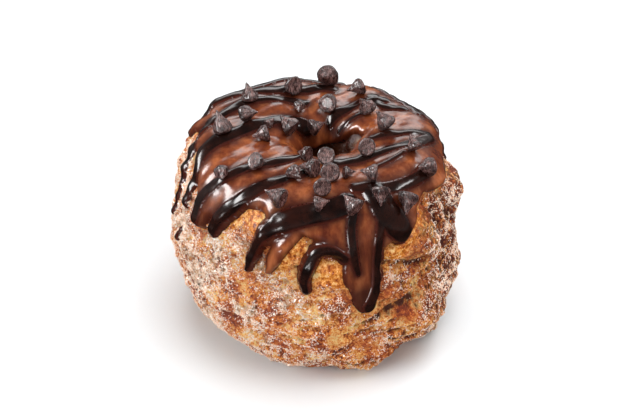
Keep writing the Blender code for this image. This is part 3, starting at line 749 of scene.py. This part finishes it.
def snapped_to_edge(azimuth, along, inside, columns, reach):
    """Moves the grid corners nearest an edge onto it, so that the edge runs smoothly."""
    field = inside.reshape(columns, -1)
    turned = azimuth.reshape(columns, -1)
    up = along.reshape(columns, -1)
    step = 360 / columns
    radius = np.interp(np.mod(up, ROUND), STEPS, RADII)
    slope_u = (np.roll(field, -1, 0) - np.roll(field, 1, 0)) / (2 * np.radians(step) * radius)
    slope_s = np.gradient(field, axis=1) / np.gradient(up, axis=1)
    steep = np.maximum(slope_u ** 2 + slope_s ** 2, 0.25)
    pull = np.where(np.abs(field) < reach, -field / steep, 0)
    pull = np.clip(pull, -reach, reach)
    turned = turned + np.degrees(pull * slope_u / radius)
    return turned.ravel(), (up + pull * slope_s).ravel()


def icing_depth(azimuth, along):
    """How thick the icing lies in mm, which varies a little."""
    return ICING * (1 + 0.12 * waves(azimuth, along, 11, (2, 7), (2, 8), 8))


def chip_fillets(points):
    """How much the icing climbs round each chip's foot, in mm."""
    climb = np.zeros(len(points))
    for turned, height_at, _, _, size in CHIPS:
        foot = ring_point(np.array(turned), np.array(height_at), ICING)
        off = np.sqrt(((points - foot) ** 2).sum(axis=1)) / (CHIP_REACH * size)
        climb = np.maximum(climb, CHIP_FILLET * np.exp(-off ** 4))
    return climb


def drizzle_inside(points):
    """How far a place lies inside the nearest ribbon, and the ribbon's rise there, in mm."""
    inside = np.full(len(points), -FAR)
    rise = np.full(len(points), -FAR)
    for tip, root, places in DRIZZLE:
        ribbon, half = inside_trail(points, places, tip, root)
        inside = np.maximum(inside, ribbon)
        ribbon_rise = rounded_rise(ribbon, DRIZZLE_RISE * half, half, DRIZZLE_FULLNESS)
        rise = np.maximum(rise, ribbon_rise)
    return inside, rise


def flow_ridges(points):
    """Low ridges that run the way the icing was poured, from front left to back right, in mm."""
    over = points[:, 1] * math.cos(POUR_ANGLE) - points[:, 0] * math.sin(POUR_ANGLE)
    along_pour = points[:, 0] * math.cos(POUR_ANGLE) + points[:, 1] * math.sin(POUR_ANGLE)
    wander = 1.4 * np.sin(0.11 * along_pour + 1.0) + 0.7 * np.sin(0.23 * along_pour + 0.09 * over)
    return RIDGE_HEIGHT * (np.sin(CIRCLE * (over + wander) / RIDGE_PITCH)
                           + 0.2 * np.sin(CIRCLE * (over - wander) / RIPPLE_PITCH))


def crust_under_icing(azimuth, along, spots, inside):
    """The smoothed crust with the ridges and chip fillets that the icing adds to it, in mm."""
    under = crust_relief(azimuth, along, np.clip(inside / SMOOTHED_UNDER, 0, 1))
    ridges = flow_ridges(spots) * np.clip(inside / 3, 0, 1)
    return under + chip_fillets(spots) * (inside > 1) + ridges


milk, shader, add, join = finish_for("milk_chocolate_icing")
place = in_mm(add)
streaked = stretched(add, place, (1.0, 1.0, 0.22))
brown = shades(add, grain(add, streaked, 0.22, 4, 0.6), MILK_BROWNS)
# Darker beside the ribbons, partly from blended dark chocolate and partly from painted shade; the
# drip's bulb is dark chocolate
brown = blend_colours(add, times(add, painted(add, "mixed_in_and_shade"), 0.88), brown, MIXED_AND_SHADE_BROWN)
# Painted shade along the icing's edge, read from the edge attribute
brown = blend_colours(add, times(add, painted(add, "edge"), 0.8), brown, EDGE_SHADE_BROWN)
join(brown, "Base Color")
shader.inputs["Roughness"].default_value = 0.25
shader.inputs["Specular IOR Level"].default_value = 0.22
shader.inputs["Coat Weight"].default_value = 0.15
shader.inputs["Coat Roughness"].default_value = 0.08
shader.inputs["Subsurface Weight"].default_value = 0.08
shader.inputs["Subsurface Radius"].default_value = (1.0, 0.35, 0.2)
shader.inputs["Subsurface Scale"].default_value = 0.0010
stand_out(add, join, grain(add, place, 0.35, 3, 0.5), 0.15, 0.0006)

icing_rows = np.arange(SKIN_FROM, SKIN_TO, ICING_STEP)
azimuth, along = ring_grid(ICING_COLUMNS, icing_rows)
inside = milk_inside(azimuth, along, ring_point(azimuth, along, 0.0))
azimuth, along = snapped_to_edge(azimuth, along, inside, ICING_COLUMNS, ICING_SNAP)
spots = ring_point(azimuth, along, 0.0)
inside = milk_inside(azimuth, along, spots)
milk_rise = rounded_rise(inside, icing_depth(azimuth, along), ICING_ROUND)
quads = grid_quads(ICING_COLUMNS, len(icing_rows), False)
quads = quads[(inside[quads] > -ICING_SKIRT).any(axis=1)]
lift = crust_under_icing(azimuth, along, spots, inside) + np.maximum(milk_rise, ICING_TUCK)
milk_points = kept_inside(ring_point(azimuth, along, lift), ICING_MARGIN)
milk_icing, used = mesh_piece("milk_icing", milk_points, quads, milk)
# Painted shade beside the raised ribbons, together with the blended dark chocolate and the dark bulb
ribbon, _ = drizzle_inside(spots)
beside_ribbon = np.clip(1 + ribbon / MIXED_AND_SHADE_REACH, 0, 1) ** 1.6
mixed_and_shade = np.maximum(beside_ribbon, swell(azimuth, along, *DARK_BULB, 1.5))
paint(milk_icing, "mixed_in_and_shade", np.clip(mixed_and_shade, 0, 1)[used])
# The edge attribute carries the painted shade along the icing's edge
paint(milk_icing, "edge", np.exp(-(np.clip(inside, 0, FAR) / EDGE_SHADE_REACH) ** 2)[used])
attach(milk_icing, "root")
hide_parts("icing")

# The dark drizzle: plain chocolate laid over the icing in thick uneven ribbons, from the left
# flank across the top to the right, with ends that ran down and set as drops.
DRIZZLE_COLUMNS = 760
DRIZZLE_STEP = 0.33
DRIZZLE_SNAP = 0.25
DRIZZLE_SKIRT = 0.3
DRIZZLE_TUCK = -0.6
DRIZZLE_MARGIN = 0.01
BARE_LIFT = 0.35
DARK_BROWNS = ((0.35, (0.006, 0.002, 0.0015)), (0.65, (0.020, 0.005, 0.003)))
THIN_BROWN = (0.060, 0.011, 0.006, 1)
THIN_EDGE = 0.9
dark, shader, add, join = finish_for("dark_chocolate_drizzle")
place = in_mm(add)
thinned = between(add, painted(add, "thin"), 0.1, 0.9)
thick_brown = shades(add, grain(add, place, 0.25, 3), DARK_BROWNS)
join(blend_colours(add, thinned, thick_brown, THIN_BROWN), "Base Color")
shader.inputs["Roughness"].default_value = 0.20
shader.inputs["Specular IOR Level"].default_value = 0.18
shader.inputs["Coat Weight"].default_value = 0.12
shader.inputs["Coat Roughness"].default_value = 0.06
stand_out(add, join, grain(add, place, 0.3, 2, 0.5), 0.12, 0.0006)

drizzle_rows = np.arange(SKIN_FROM, SKIN_TO, DRIZZLE_STEP)
azimuth, along = ring_grid(DRIZZLE_COLUMNS, drizzle_rows)
ribbon, _ = drizzle_inside(ring_point(azimuth, along, 0.0))
azimuth, along = snapped_to_edge(azimuth, along, ribbon, DRIZZLE_COLUMNS, DRIZZLE_SNAP)
spots = ring_point(azimuth, along, 0.0)
ribbon, dark_rise = drizzle_inside(spots)
inside = milk_inside(azimuth, along, spots)
slope = np.clip((inside + 1.6) / 3.4, 0, 1)
milk_rise = icing_depth(azimuth, along) * slope ** 2 * (3 - 2 * slope)
bare_part = BARE_LIFT * (1 - slope) * (ribbon > 0)
quads = grid_quads(DRIZZLE_COLUMNS, len(drizzle_rows), False)
quads = quads[(ribbon[quads] > -DRIZZLE_SKIRT).any(axis=1)]
lift = crust_under_icing(azimuth, along, spots, inside) + milk_rise + bare_part
lift = lift + np.maximum(dark_rise, DRIZZLE_TUCK)
drizzle_points = kept_inside(ring_point(azimuth, along, lift), DRIZZLE_MARGIN)
drizzle, used = mesh_piece("dark_drizzle", drizzle_points, quads, dark)
paint(drizzle, "thin", np.clip(1 - ribbon / THIN_EDGE, 0, 1)[used])
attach(drizzle, "root")
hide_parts("icing")

# The chocolate chips: small moulded teardrops of plain chocolate, dropped on while the icing
# was wet. Most lie on their side with the flat foot outwards, and a few stand with the tip up.
CHIP_LENGTH = 5.0
# Radius and height in mm up the side of a chip, from the middle of its foot to its tip
CHIP_PROFILE = (
    (0.0, 0.16), (1.05, 0.14), (1.75, 0.10), (2.0, 0.0), (2.25, 0.04), (2.46, 0.28),
    (2.52, 0.65), (2.36, 1.2), (1.94, 1.9), (1.42, 2.65), (0.96, 3.35), (0.62, 3.95),
    (0.42, 4.45), (0.2, 4.85), (0.0, CHIP_LENGTH),
)
CHIP_SIDES = 44
CHIP_RINGS = 36
CHIP_CURL = 0.045
CHIP_FLUTE = 0.035
CHIP_WEAR = 0.055
CHIP_SINK = 0.3
RIM_RADIUS = 2.35
RIM_WIDTH = 0.22
BLOOM_BROWNS = (
    (0.52, (0.008, 0.002, 0.002)), (0.65, (0.036, 0.010, 0.008)), (0.77, (0.120, 0.046, 0.040)),
    (0.90, (0.34, 0.18, 0.16)),
)
RIM_BROWN = (0.012, 0.004, 0.004, 1)

chocolate, shader, add, join = finish_for("plain_chocolate_chip")
place = in_mm(add)
bloom = grain(add, place, 0.8, 5, 0.65)
streak = add("ShaderNodeTexWave", {"Vector": place, "Scale": 0.9, "Distortion": 6.0, "Detail": 3.0,
                                   "Detail Scale": 1.2}).outputs["Fac"]
bloom = sum_of(add, bloom, times(add, streak, 0.35))
# A darker band round the rim of each chip's foot
rim_darkening = times(add, painted(add, "rim"), 0.7)
join(blend_colours(add, rim_darkening, shades(add, bloom, BLOOM_BROWNS), RIM_BROWN), "Base Color")
join(between(add, bloom, 0.50, 0.85, 0.16, 0.50), "Roughness")
shader.inputs["Specular IOR Level"].default_value = 0.3
shader.inputs["Coat Weight"].default_value = 0.35
shader.inputs["Coat Roughness"].default_value = 0.10
stand_out(add, join, bloom, 0.8, 0.0003)


def chip_turn(azimuth, along, lean, heading):
    """The turning matrix and the surface normal of a chip at a place."""
    spot = Vector(ring_point(azimuth, along, ICING))
    inward = Vector(ring_point(azimuth, along + 0.5, ICING)) - spot
    sideways = Vector(ring_point(azimuth + 0.5, along, ICING)) - spot
    normal = sideways.cross(inward).normalized()
    inward = (inward - normal * inward.dot(normal)).normalized()
    sideways = inward.cross(normal)
    lead = inward * math.cos(math.radians(heading)) + sideways * math.sin(math.radians(heading))
    axis = normal * math.cos(math.radians(lean)) + lead * math.sin(math.radians(lean))
    across = axis.cross(lead if abs(axis.dot(lead)) < 0.9 else normal).normalized()
    return Matrix((across.cross(axis), across, axis)).transposed(), normal


def chip_mesh(size, stretch, curl, seed):
    """Points, faces and rim band of one chip, with its own ripples and curled tip."""
    profile = np.array(CHIP_PROFILE)
    run = np.concatenate([[0], np.cumsum(np.hypot(*np.diff(profile, axis=0).T))])
    rings = np.linspace(0, run[-1], CHIP_RINGS + 1)[1:-1]
    radius = np.interp(rings, run, profile[:, 0])
    height = np.interp(rings, run, profile[:, 1])
    turn = np.arange(CHIP_SIDES) * CIRCLE / CHIP_SIDES
    draw = random.Random(seed)
    wobble = sum(
        draw.uniform(0.01, 0.045) * np.cos(k * turn + draw.uniform(0, CIRCLE)) for k in (1, 2, 3, 5))
    flutes = CHIP_FLUTE * np.cos(draw.randint(7, 10) * turn + draw.uniform(0, CIRCLE))
    twist = draw.uniform(-1.2, 1.2)
    circles = []
    for ring_radius, up in zip(radius, height):
        here = ring_radius * (1 + wobble * min(1, up + 0.3) + flutes * min(1, up / 1.5))
        twisted = turn + twist * up / CHIP_LENGTH
        circles.append(np.stack([here * np.cos(twisted), here * np.sin(twisted),
                                 np.full(CHIP_SIDES, up)], axis=-1))
    points = np.concatenate(circles + [[(0, 0, profile[0, 1])], [(0, 0, profile[-1, 1])]])
    for i, point in enumerate(points):
        spot = Vector(point) + Vector((seed * 7.3, 0, 0))
        points[i] *= 1 + CHIP_WEAR * noise.fractal(spot, 0.7, 2.1, 5)
    rim = np.exp(-((np.hypot(points[:, 0], points[:, 1]) - RIM_RADIUS) / RIM_WIDTH) ** 2)
    points[:, 0] += curl * points[:, 2] ** 2
    points *= size
    points[:, 2] *= stretch
    foot, tip = len(points) - 2, len(points) - 1
    faces = []
    for ring in range(len(rings) - 1):
        for side in range(CHIP_SIDES):
            low = ring * CHIP_SIDES + side
            low_next = ring * CHIP_SIDES + (side + 1) % CHIP_SIDES
            faces.append((low_next, low_next + CHIP_SIDES, low + CHIP_SIDES, low))
    last = (len(rings) - 1) * CHIP_SIDES
    for side in range(CHIP_SIDES):
        beside = (side + 1) % CHIP_SIDES
        faces.append((beside, side, foot))
        faces.append((last + side, last + beside, tip))
    return points, faces, rim


draw = random.Random(21)
for number, (turned, height_at, lean, heading, size) in enumerate(CHIPS, start=1):
    node = f"chip_{number:02d}"
    stretch = draw.uniform(0.92, 1.08)
    curl = draw.uniform(0.3, 1.0) * CHIP_CURL
    points, faces, rim = chip_mesh(size, stretch, curl, number)
    turn, normal = chip_turn(turned, height_at, lean, heading)
    points = points @ np.array(turn).T
    low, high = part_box(node)
    middle = (np.array(low) + np.array(high)) / 2 / MM
    points += middle - (points.min(axis=0) + points.max(axis=0)) / 2 - CHIP_SINK * np.array(normal)
    mesh = bpy.data.meshes.new(f"chocolate_{node}")
    mesh.from_pydata([tuple(point * MM) for point in points], [], faces)
    mesh.shade_smooth()
    mesh.materials.append(chocolate)
    chip = bpy.data.objects.new(f"chocolate_{node}", mesh)
    bpy.context.scene.collection.objects.link(chip)
    paint(chip, "rim", rim)
    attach(chip, "root")
    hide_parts(node)

# The stage: a white sweep under soft studio light, and a camera that looks down at the front.
# The strip lamps only make highlights in the gloss, and the softboxes only light the surfaces.
# The sky's grey goes by height, from the horizon up.
FLOOR_SIZE = 6
FLOOR_DROP = 0.0002
SKY = (
    (0.0, (0.05, 0.05, 0.05)), (0.02, (0.60, 0.60, 0.60)), (0.25, (0.26, 0.26, 0.26)),
    (0.75, (0.12, 0.12, 0.12)),
)
floor_white, shader, _, _ = finish_for("white_sweep")
shader.inputs["Base Color"].default_value = (0.88, 0.91, 0.93, 1)
shader.inputs["Roughness"].default_value = 0.9
shader.inputs["Specular IOR Level"].default_value = 0.1
bpy.ops.mesh.primitive_plane_add(size=FLOOR_SIZE, location=(0, 0, -FLOOR_DROP))
floor = bpy.context.object
floor.name = "white_floor"
floor.visible_glossy = False
floor.data.materials.append(floor_white)

world = bpy.data.worlds.new("studio")
bpy.context.scene.world = world
world.use_nodes = True
sky = world.node_tree
direction = sky.nodes.new("ShaderNodeTexCoord")
split = sky.nodes.new("ShaderNodeSeparateXYZ")
ramp = sky.nodes.new("ShaderNodeValToRGB")
set_ramp(ramp.color_ramp, SKY)
sky.links.new(direction.outputs["Generated"], split.inputs[0])
sky.links.new(split.outputs["Z"], ramp.inputs["Fac"])
sky.links.new(ramp.outputs["Color"], sky.nodes["Background"].inputs["Color"])
sky.nodes["Background"].inputs["Strength"].default_value = 1.0

LOOK_AT = Vector((0, 0, 0.030))
# Lamps: place, width and depth in metres, power in watts, and whether it is a strip
LAMPS = (
    ("left_strip", (-0.42, -0.06, 0.44), 0.50, 0.18, 11.0, True),
    ("back_strip", (0.10, 0.60, 0.34), 0.80, 0.22, 2.6, True),
    ("right_strip", (0.46, 0.10, 0.40), 0.30, 0.08, 2.0, True),
    ("front_strip", (-0.25, -0.55, 0.14), 0.14, 0.14, 1.6, True),
    ("top_softbox", (0.14, 0.02, 0.74), 0.80, 0.70, 7.0, False),
    ("left_softbox", (-0.54, -0.28, 0.32), 0.50, 0.40, 2.8, False),
    ("right_softbox", (0.50, -0.36, 0.26), 0.50, 0.40, 1.1, False),
)
for name, spot, width, depth, power, strip in LAMPS:
    lamp = bpy.data.lights.new(name, "AREA")
    lamp.shape = "RECTANGLE"
    lamp.size = width
    lamp.size_y = depth
    lamp.energy = power
    holder = bpy.data.objects.new(name, lamp)
    holder.location = spot
    holder.rotation_euler = (LOOK_AT - Vector(spot)).to_track_quat("-Z", "Y").to_euler()
    holder.visible_glossy = strip
    holder.visible_diffuse = not strip
    bpy.context.scene.collection.objects.link(holder)

# The camera: tilt, distance in metres, lens and sensor in mm, and its aim in mm off the waist
CAMERA_TILT = math.radians(37)
CAMERA_AWAY = 0.504
CAMERA_LENS = 96.7
CAMERA_SENSOR = 36
FITTED_SPOT = Vector((-CENTRE_X, -CENTRE_Y, WAIST_HEIGHT)) * MM
AIM_ACROSS = -0.71
AIM_UP = 5.96
image_up = Vector((0, math.sin(CAMERA_TILT), math.cos(CAMERA_TILT)))
towards_camera = Vector((0, -math.cos(CAMERA_TILT), math.sin(CAMERA_TILT)))
lens = bpy.data.cameras.new("camera")
lens.lens = CAMERA_LENS
lens.sensor_width = CAMERA_SENSOR
lens.clip_start = 0.01
camera = bpy.data.objects.new("camera", lens)
camera.location = FITTED_SPOT + CAMERA_AWAY * towards_camera
aim = FITTED_SPOT + AIM_ACROSS * MM * Vector((1, 0, 0)) + AIM_UP * MM * image_up
camera.rotation_euler = (aim - camera.location).to_track_quat("-Z", "Y").to_euler()
bpy.context.scene.collection.objects.link(camera)
bpy.context.scene.camera = camera
bpy.context.scene.view_settings.view_transform = "Standard"
